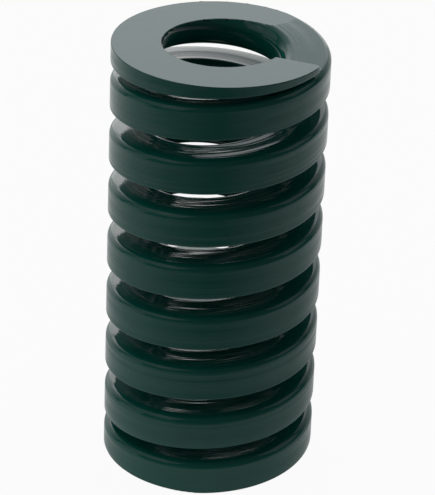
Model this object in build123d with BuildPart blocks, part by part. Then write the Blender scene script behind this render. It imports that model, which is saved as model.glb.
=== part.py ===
from build123d import *
import os

# A die spring: one length of rectangular wire wound into a right-hand coil, closed at both
# ends and ground flat there, square to its axis. It stands on its bottom end with the axis
# on +Z, and the origin is the middle of that end. Lengths are in millimetres, angles in
# degrees about the axis from +X, and winding is counted in turns from the bottom tip.

# The finished spring
free_length = 51.0
outside_diameter = 24.5
bore_diameter = 13.3
ground_edge_break = 0.12  # chamfer round both ground faces, at the rim and at the bore

# The wire, as cut by a plane through the axis
wire_height = 4.05
upper_outer_break = 0.6  # 45-degree corner breaks
lower_outer_break = 0.25
inner_break = 0.5

# The winding
total_turns = 8.9
top_tip_angle = -27.0
closed_gap = 0.1  # left between the closed turns
bottom_closed_turns = 0.6
bottom_lead_turns = 0.65  # over these the pitch opens from closed to active
top_closed_turns = 0.7
top_lead_turns = 0.25
lead_steps = 4  # the pitch opens in this many even steps

# What grinding leaves of the wire at its two tips
bottom_tip_thickness = 1.05
top_tip_thickness = 0.74

# The wire is wound this much too wide outside and in the bore, then trimmed to true cylinders
trim_stock = 0.06

outside_radius = outside_diameter / 2
bore_radius = bore_diameter / 2
mean_radius = (outside_radius + bore_radius) / 2
wire_width = outside_radius - bore_radius

# Each span of the winding is its turns and how far it is open: 0 is closed, 1 is active.
lead_openings = [step / (lead_steps + 1) for step in range(1, lead_steps + 1)]
active_turns = total_turns - bottom_closed_turns - bottom_lead_turns - top_lead_turns - top_closed_turns
spans = [(bottom_closed_turns, 0.0)]
spans += [(bottom_lead_turns / lead_steps, opening) for opening in lead_openings]
spans += [(active_turns, 1.0)]
spans += [(top_lead_turns / lead_steps, opening) for opening in reversed(lead_openings)]
spans += [(top_closed_turns, 0.0)]

# The active pitch is what brings the ground length out right.
closed_pitch = wire_height + closed_gap
centre_line_rise = free_length + wire_height - bottom_tip_thickness - top_tip_thickness
open_turns = sum(turns * opening for turns, opening in spans)
pitch_gain = (centre_line_rise - closed_pitch * total_turns) / open_turns
print(f"active pitch {closed_pitch + pitch_gain:.3f} mm")

with BuildPart() as die_spring:
    start_angle = top_tip_angle - 360 * total_turns
    start_height = bottom_tip_thickness - wire_height / 2
    for turns, opening in spans:
        pitch = closed_pitch + pitch_gain * opening
        span_start = Pos(0, 0, start_height) * Rot(0, 0, start_angle)
        centre_line = span_start * Helix(pitch, pitch * turns, mean_radius, mode=Mode.PRIVATE)
        with BuildSketch(Plane(span_start * Plane.XZ.location)) as wire_section:
            with Locations((mean_radius, 0)):
                Rectangle(wire_width + 2 * trim_stock, wire_height)
            lower_outer, upper_outer = wire_section.vertices().group_by(Axis.X)[-1].sort_by(Axis.Y)
            inner_corners = wire_section.vertices().group_by(Axis.X)[0]
            chamfer(inner_corners, inner_break + trim_stock)
            chamfer(lower_outer, lower_outer_break + trim_stock)
            chamfer(upper_outer, upper_outer_break + trim_stock)
        sweep(path=centre_line, is_frenet=True)
        start_angle += 360 * turns
        start_height += pitch * turns

    # True outside and bore, ground flat at both ends with broken edges
    with BuildSketch(Plane.XZ) as finished_profile:
        with Locations((mean_radius, free_length / 2)):
            Rectangle(wire_width, free_length)
        chamfer(finished_profile.vertices(), ground_edge_break)
    revolve(axis=Axis.Z, mode=Mode.INTERSECT)

die_spring.part.label = "die_spring"
os.makedirs("parts", exist_ok=True)
export_step(die_spring.part, "parts/die_spring.step")
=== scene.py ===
from math import atan2, ceil, cos, hypot, pi, radians, sin
import bpy
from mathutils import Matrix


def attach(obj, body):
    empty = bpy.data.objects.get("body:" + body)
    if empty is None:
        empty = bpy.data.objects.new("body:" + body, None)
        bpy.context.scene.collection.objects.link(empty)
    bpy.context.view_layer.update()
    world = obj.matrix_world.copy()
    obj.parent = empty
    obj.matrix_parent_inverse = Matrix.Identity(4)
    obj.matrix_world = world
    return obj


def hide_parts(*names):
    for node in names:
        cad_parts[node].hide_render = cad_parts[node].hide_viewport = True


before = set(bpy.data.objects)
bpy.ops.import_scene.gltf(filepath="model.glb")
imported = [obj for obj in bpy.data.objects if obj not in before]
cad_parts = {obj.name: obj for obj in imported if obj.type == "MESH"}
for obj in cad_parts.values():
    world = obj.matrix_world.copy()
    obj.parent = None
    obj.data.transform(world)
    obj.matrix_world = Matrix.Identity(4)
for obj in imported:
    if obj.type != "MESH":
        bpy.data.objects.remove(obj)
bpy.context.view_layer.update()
bpy.ops.object.select_all(action="DESELECT")

# The spring: one length of spring steel wire of rectangular section, wound right-hand on a
# mandrel into a stout coil, closed at both ends, ground flat and square there, and painted all
# over in a glossy dark green. Sizes are in metres, and the main ones are those of the part's solid.
free_length = 0.051
outside_radius = 0.01225
bore_radius = 0.00665
wire_height = 0.00405
upper_outer_radius, lower_outer_radius, inner_radius = 0.00086, 0.00025, 0.0015
total_turns = 8.9
bottom_tip_angle = radians(9)
bottom_tip_thickness = 0.00105
top_tip_thickness = 0.00074
closed_gap = 0.00002
bottom_closed_turns, bottom_lead_turns = 0.6, 0.65
top_closed_turns, top_lead_turns = 0.7, 0.25
shear_slant = 0.105  # as a slope, about 6 degrees off square
tip_rounding = 0.0008
edge_break_width = 0.0001
steps_per_turn = 100

# The wire's section: crisper corners outside, well rounded ones towards the bore
mean_radius = (outside_radius + bore_radius) / 2
bpy.ops.mesh.primitive_plane_add(size=1, location=(mean_radius, 0, 0), rotation=(pi / 2, 0, 0))
spring = bpy.context.object
spring.name = spring.data.name = "die_spring_coil"
spring.scale = (outside_radius - bore_radius, wire_height, 1)
bpy.ops.object.transform_apply(location=True, rotation=True, scale=True)
corner_radii = {(1, 1): upper_outer_radius, (1, -1): lower_outer_radius,
                (-1, 1): inner_radius, (-1, -1): inner_radius}
for (side, end), corner_radius in corner_radii.items():
    bpy.ops.object.mode_set(mode="EDIT")
    bpy.ops.mesh.select_mode(type="VERT")
    bpy.ops.mesh.select_all(action="DESELECT")
    bpy.ops.object.mode_set(mode="OBJECT")
    for vertex in spring.data.vertices:
        vertex.select = (vertex.co.x - mean_radius) * side > 0 and vertex.co.z * end > 0
    bpy.ops.object.mode_set(mode="EDIT")
    bpy.ops.mesh.bevel(offset=corner_radius, segments=9, affect="VERTICES", clamp_overlap=False)
    bpy.ops.object.mode_set(mode="OBJECT")
bpy.ops.object.mode_set(mode="EDIT")
bpy.ops.mesh.select_all(action="SELECT")
bpy.ops.mesh.delete(type="ONLY_FACE")
bpy.ops.object.mode_set(mode="OBJECT")
section_points = len(spring.data.vertices)

# Winding it round the axis, with the pitch opening between the closed ends
steps = round(total_turns * steps_per_turn)
winding = spring.modifiers.new("winding", "SCREW")
winding.angle = 2 * pi * total_turns
winding.screw_offset = free_length
winding.steps = winding.render_steps = steps
bpy.ops.object.modifier_apply(modifier=winding.name)
closed_pitch = wire_height + closed_gap
rise = free_length + wire_height - bottom_tip_thickness - top_tip_thickness
open_turns = total_turns - bottom_closed_turns - top_closed_turns - (bottom_lead_turns + top_lead_turns) / 2
pitch_gain = (rise - closed_pitch * total_turns) / open_turns
wire_middle = bottom_tip_thickness - wire_height / 2
wire_middles = []
for step in range(steps + 1):
    wire_middles.append(wire_middle)
    for vertex in spring.data.vertices[step * section_points:(step + 1) * section_points]:
        vertex.co.z += wire_middle - free_length * step / steps
    turn = (step + 0.5) / steps_per_turn
    opening = min((turn - bottom_closed_turns) / bottom_lead_turns,
                  (total_turns - top_closed_turns - turn) / top_lead_turns, 1)
    wire_middle += (closed_pitch + pitch_gain * max(opening, 0)) / steps_per_turn

# The shears leave each end of the wire a little off square
for first in (0, steps * section_points):
    for vertex in spring.data.vertices[first:first + section_points]:
        radius = hypot(vertex.co.x, vertex.co.y)
        angle = atan2(vertex.co.y, vertex.co.x) + shear_slant * (radius - mean_radius) / radius
        vertex.co.x, vertex.co.y = radius * cos(angle), radius * sin(angle)
spring.rotation_euler.z = bottom_tip_angle
bpy.ops.object.transform_apply(location=True, rotation=True, scale=True)

# Closing the cut ends, then grinding the top and the bottom flat
bpy.ops.object.mode_set(mode="EDIT")
bpy.ops.mesh.select_all(action="SELECT")
bpy.ops.mesh.fill_holes(sides=0)
bpy.ops.mesh.select_all(action="SELECT")
bpy.ops.mesh.normals_make_consistent(inside=False)
for ground_height, outwards in ((free_length, 1), (0, -1)):
    bpy.ops.mesh.select_all(action="SELECT")
    bpy.ops.mesh.bisect(plane_co=(0, 0, ground_height), plane_no=(0, 0, outwards),
                        use_fill=True, clear_outer=True, threshold=1e-7)
bpy.ops.mesh.select_mode(type="EDGE")
bpy.ops.mesh.select_all(action="DESELECT")
bpy.ops.object.mode_set(mode="OBJECT")

# Rounding the outer corner of each tip. The cut ends are the only upright faces with more than
# a dozen corners.
rim_tolerance = 0.000001
points = spring.data.vertices
cut_ends = [face for face in spring.data.polygons if len(face.vertices) > 12 and abs(face.normal.z) < 0.5]
end_edges = {key for face in cut_ends for key in face.edge_keys}
for edge in spring.data.edges:
    rim = all(hypot(points[i].co.x, points[i].co.y) > outside_radius - rim_tolerance for i in edge.vertices)
    edge.select = rim and tuple(sorted(edge.vertices)) in end_edges
bpy.ops.object.mode_set(mode="EDIT")
bpy.ops.mesh.bevel(offset=tip_rounding, segments=6, affect="EDGES", clamp_overlap=False)
bpy.ops.object.mode_set(mode="OBJECT")

# Breaking every sharp edge, and merging the points that this leaves all but on one another
edge_break = spring.modifiers.new("edge_break", "BEVEL")
edge_break.width = edge_break_width
edge_break.segments = 2
edge_break.limit_method = "ANGLE"
edge_break.angle_limit = radians(35)
edge_break.use_clamp_overlap = False
bpy.ops.object.modifier_apply(modifier=edge_break.name)
merge_distance = 0.000003
bpy.ops.object.mode_set(mode="EDIT")
bpy.ops.mesh.select_all(action="SELECT")
bpy.ops.mesh.remove_doubles(threshold=merge_distance)
bpy.ops.mesh.dissolve_degenerate(threshold=merge_distance)
bpy.ops.object.mode_set(mode="OBJECT")
bpy.ops.object.shade_smooth()
weighting = spring.modifiers.new("weighting", "WEIGHTED_NORMAL")
bpy.ops.object.modifier_apply(modifier=weighting.name)

# Where each point lies along the wire and in its section, for the lines left by drawing it. The
# slanted ends reach a little past the first and the last turn.
past_the_tip = 0.02
along_wire = spring.data.attributes.new("along_wire", "FLOAT_VECTOR", "POINT")
for vertex, wire_point in zip(spring.data.vertices, along_wire.data):
    first_turn = ((atan2(vertex.co.y, vertex.co.x) - bottom_tip_angle) / (2 * pi)) % 1
    passes = []
    for turn in (first_turn + whole for whole in range(-1, ceil(total_turns))):
        if -past_the_tip < turn < total_turns + past_the_tip:
            step = min(max(round(turn * steps_per_turn), 0), steps)
            passes.append((vertex.co.z - wire_middles[step], turn))
    above_middle, turn = min(passes, key=lambda wire_pass: abs(wire_pass[0]))
    from_middle = hypot(vertex.co.x, vertex.co.y) - mean_radius
    wire_point.vector = (2 * pi * mean_radius * turn, from_middle, above_middle)


class Socket:
    """One socket of a node tree: sums on it add Math nodes, and add() makes any other node."""

    def __init__(self, tree, socket=None):
        self.tree, self.socket = tree, socket

    def add(self, kind, settings, inputs, output=0):
        node = self.tree.nodes.new(kind)
        for name, value in settings.items():
            setattr(node, name, value)
        for name, value in inputs.items():
            if isinstance(value, Socket):
                self.tree.links.new(value.socket, node.inputs[name])
            else:
                node.inputs[name].default_value = value
        return Socket(self.tree, node.outputs[output]) if node.outputs else None

    def maths(self, operation, first, second):
        return self.add("ShaderNodeMath", {"operation": operation}, {0: first, 1: second})

    def __add__(self, other):
        return self.maths("ADD", self, other)

    def __radd__(self, other):
        return self.maths("ADD", other, self)

    def __sub__(self, other):
        return self.maths("SUBTRACT", self, other)

    def __rsub__(self, other):
        return self.maths("SUBTRACT", other, self)

    def __mul__(self, other):
        return self.maths("MULTIPLY", self, other)

    def __rmul__(self, other):
        return self.maths("MULTIPLY", other, self)

    def __gt__(self, other):
        return self.maths("GREATER_THAN", self, other)

    def __lt__(self, other):
        return self.maths("LESS_THAN", self, other)


# The paint: one thick glossy coat, a little uneven in depth, with a faint orange peel. The fine
# lines and the broader waves of the drawn wire show through it along the coils, and grinding has
# taken them off both ends.
deep_green, light_green = (0.003, 0.098, 0.077, 1), (0.005, 0.13, 0.102, 1)
ground_tolerance = 0.00001
relief_unit = 0.00001
line_depth, wave_depth, peel_depth = 6, 18, 0.6  # in relief units
line_fineness = (10, 1700, 1700)  # along the wire, across it and up it, to the metre
wave_fineness = (12, 700, 700)
paint = bpy.data.materials.new("glossy_dark_green_paint")
paint.use_nodes = True
paint.node_tree.nodes.clear()
coat = Socket(paint.node_tree)
place = coat.add("ShaderNodeTexCoord", {}, {}, "Object")
height = coat.add("ShaderNodeSeparateXYZ", {}, {0: place}, "Z")
ground = (height > free_length - ground_tolerance) + (height < ground_tolerance)
wire_place = coat.add("ShaderNodeAttribute", {"attribute_name": "along_wire"}, {}, "Vector")
line_place = coat.add("ShaderNodeVectorMath", {"operation": "MULTIPLY"}, {0: wire_place, 1: line_fineness})
drawn_lines = coat.add("ShaderNodeTexNoise", {}, {"Vector": line_place, "Scale": 1, "Detail": 1}, "Fac")
wave_place = coat.add("ShaderNodeVectorMath", {"operation": "MULTIPLY"}, {0: wire_place, 1: wave_fineness})
rolled_waves = coat.add("ShaderNodeTexNoise", {}, {"Vector": wave_place, "Scale": 1, "Detail": 0}, "Fac")
orange_peel = coat.add("ShaderNodeTexNoise", {}, {"Vector": place, "Scale": 900, "Detail": 1}, "Fac")
paint_depth = coat.add("ShaderNodeTexNoise", {},
                       {"Vector": place, "Scale": 260, "Detail": 3, "Roughness": 0.6}, "Fac")
wire_relief = (1 - ground) * (drawn_lines * line_depth + rolled_waves * wave_depth)
surface = coat.add("ShaderNodeBump", {},
                   {"Height": wire_relief + orange_peel * peel_depth, "Distance": relief_unit, "Strength": 1})
colour = coat.add("ShaderNodeMix", {"data_type": "RGBA"}, {0: paint_depth, 6: deep_green, 7: light_green}, 2)
shader = coat.add("ShaderNodeBsdfPrincipled", {},
                  {"Base Color": colour, "Roughness": 0.07 + 0.06 * paint_depth, "Normal": surface})
coat.add("ShaderNodeOutputMaterial", {}, {"Surface": shader})
spring.data.materials.append(paint)
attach(spring, "root")
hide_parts("die_spring")

# The floor: a sheet of paper that the spring stands on, with painted shade darkening it towards the front, as
# where black cards would keep the light off it. The camera sees it all but white, with the spring's faint
# shadow, and other rays find it glowing a little behind, at both sides and close round the spring.
bright_paper, painted_shade_paper = (0.85, 0.85, 0.85, 1), (0.15, 0.15, 0.15, 1)
seen_whiteness = 0.95
mirrored_floor, mirrored_behind = 0.04, 0.4
left_glow, right_glow, near_glow = 0.12, 0.2, 0.25
bpy.ops.mesh.primitive_plane_add(size=6, location=(0, 0, 0))
floor = bpy.context.object
floor.name = floor.data.name = "floor"
floor_paper = bpy.data.materials.new("floor_paper")
floor_paper.use_nodes = True
floor_paper.node_tree.nodes.clear()
paper = Socket(floor_paper.node_tree)
floor_place = paper.add("ShaderNodeTexCoord", {}, {}, "Object")
sideways = paper.add("ShaderNodeSeparateXYZ", {}, {0: floor_place}, "X")
backwards = paper.add("ShaderNodeSeparateXYZ", {}, {0: floor_place}, "Y")
from_axis = paper.add("ShaderNodeVectorMath", {"operation": "LENGTH"}, {0: floor_place}, "Value")
# front: where painted shade darkens the paper, standing in for black cards that keep the light off it
front = paper.add("ShaderNodeMapRange", {}, {"Value": backwards, "From Min": -0.015, "From Max": -0.08})
behind = paper.add("ShaderNodeMapRange", {}, {"Value": backwards, "From Min": 0, "From Max": 0.08})
left_side = paper.add("ShaderNodeMapRange", {}, {"Value": sideways, "From Min": -0.012, "From Max": -0.08})
right_side = paper.add("ShaderNodeMapRange", {}, {"Value": sideways, "From Min": 0.012, "From Max": 0.08})
near = paper.add("ShaderNodeMapRange", {}, {"Value": from_axis, "From Min": 0.045, "From Max": 0.014})
ray_kinds = ("Is Camera Ray", "Is Glossy Ray", "Is Transmission Ray")
camera_ray, glossy_ray, transmission_ray = (
    paper.add("ShaderNodeLightPath", {}, {}, kind) for kind in ray_kinds)
# The paper's colour, with painted shade mixed in towards the front
paper_colour_and_painted_shade = paper.add("ShaderNodeMix", {"data_type": "RGBA"},
                         {0: front, 6: bright_paper, 7: painted_shade_paper}, 2)
lit_paper = paper.add("ShaderNodeBsdfDiffuse", {}, {"Color": paper_colour_and_painted_shade})
white = paper.add("ShaderNodeEmission", {}, {"Color": (1, 1, 1, 1), "Strength": 1})
glow = left_glow * left_side + right_glow * right_side + near_glow * near
whiteness = (camera_ray * seen_whiteness + transmission_ray * seen_whiteness
             + glossy_ray * (mirrored_floor + mirrored_behind * behind)
             + (1 - camera_ray - transmission_ray) * glow)
sheet = paper.add("ShaderNodeMixShader", {}, {0: whiteness, 1: lit_paper, 2: white})
paper.add("ShaderNodeOutputMaterial", {}, {"Surface": sheet})
floor.data.materials.append(floor_paper)

# The light: a white backdrop and soft panels behind, above and at both sides, with little at
# the front, so that the paint stays dark there and the panels draw its highlights. The camera
# sees plain white all round.
left_strength, right_strength, mirrored_strength = 0.45, 0.15, 0.06
world = bpy.data.worlds.new("studio")
bpy.context.scene.world = world
world.use_nodes = True
world.node_tree.nodes.clear()
studio = Socket(world.node_tree)
direction = studio.add("ShaderNodeTexCoord", {}, {}, "Generated")
to_right = studio.add("ShaderNodeSeparateXYZ", {}, {0: direction}, "X")
to_back = studio.add("ShaderNodeSeparateXYZ", {}, {0: direction}, "Y")
backdrop = studio.add("ShaderNodeMapRange", {}, {"Value": to_back, "From Min": 0.4, "From Max": 0.95})
left_wall = studio.add("ShaderNodeMapRange", {}, {"Value": to_right, "From Min": -0.2, "From Max": -0.9})
right_wall = studio.add("ShaderNodeMapRange", {}, {"Value": to_right, "From Min": 0.2, "From Max": 0.9})
camera_ray, glossy_ray, transmission_ray = (
    studio.add("ShaderNodeLightPath", {}, {}, kind) for kind in ray_kinds)
seen_white = camera_ray + transmission_ray
walls = left_wall * left_strength + right_wall * right_strength
lit = backdrop + (1 - glossy_ray) * walls + glossy_ray * mirrored_strength
strength = seen_white + (1 - seen_white) * lit
background = studio.add("ShaderNodeBackground", {}, {"Color": (1, 1, 1, 1), "Strength": strength})
studio.add("ShaderNodeOutputWorld", {}, {"Surface": background})

# Each panel is 1 m from a point about halfway up the spring, which it faces. Its azimuth is
# counted anticlockwise from the front, seen from above.
aim_height = 0.025
plain_white, cool_white = (1, 1, 1), (0.95, 0.98, 1.05)
panels = {  # azimuth, elevation, width, length, brightness, tint
    "rear_panel": (180, 10, 0.75, 0.36, 0.7, plain_white),
    "rear_left_panel": (-142, 10, 0.5, 0.36, 0.1, plain_white),
    "rear_high_panel": (180, 32, 1, 0.36, 0.68, cool_white),
    "top_rear_panel": (180, 53, 0.9, 0.36, 0.15, plain_white),
    "overhead_panel": (180, 77, 0.9, 0.42, 0.5, plain_white),
    "left_panel": (-95, 10, 0.6, 0.36, 0.38, plain_white),
    "left_high_panel": (-95, 42, 0.6, 0.6, 0.3, plain_white),
    "left_key_panel": (-60, 42, 0.45, 0.6, 0.3, plain_white),
    "right_panel": (95, 42, 0.6, 0.6, 0.28, plain_white),
}
for name, (azimuth, elevation, width, length, brightness, tint) in panels.items():
    panel = bpy.data.objects.new(name, bpy.data.lights.new(name, "AREA"))
    bpy.context.scene.collection.objects.link(panel)
    panel.data.shape = "RECTANGLE"
    panel.data.size, panel.data.size_y = width, length
    panel.data.energy = brightness * pi * width * length
    panel.data.color = tint
    swing, lift = radians(azimuth), radians(elevation)
    panel.location = (cos(lift) * sin(swing), -cos(lift) * cos(swing), aim_height + sin(lift))
    panel.rotation_euler = (pi / 2 - lift, 0, swing)

# The camera: a long lens looking down on the spring from its front, held a little off level.
camera = bpy.data.objects.new("camera", bpy.data.cameras.new("camera"))
bpy.context.scene.collection.objects.link(camera)
bpy.context.scene.camera = camera
camera.location = (0, -0.287986, 0.172952)
camera.rotation_euler = (radians(62.8825), radians(-1.9002), radians(0.8941))
camera.data.sensor_width = 36
camera.data.lens = 205.2
camera.data.clip_start = 0.01
bpy.context.scene.view_settings.view_transform = "Standard"
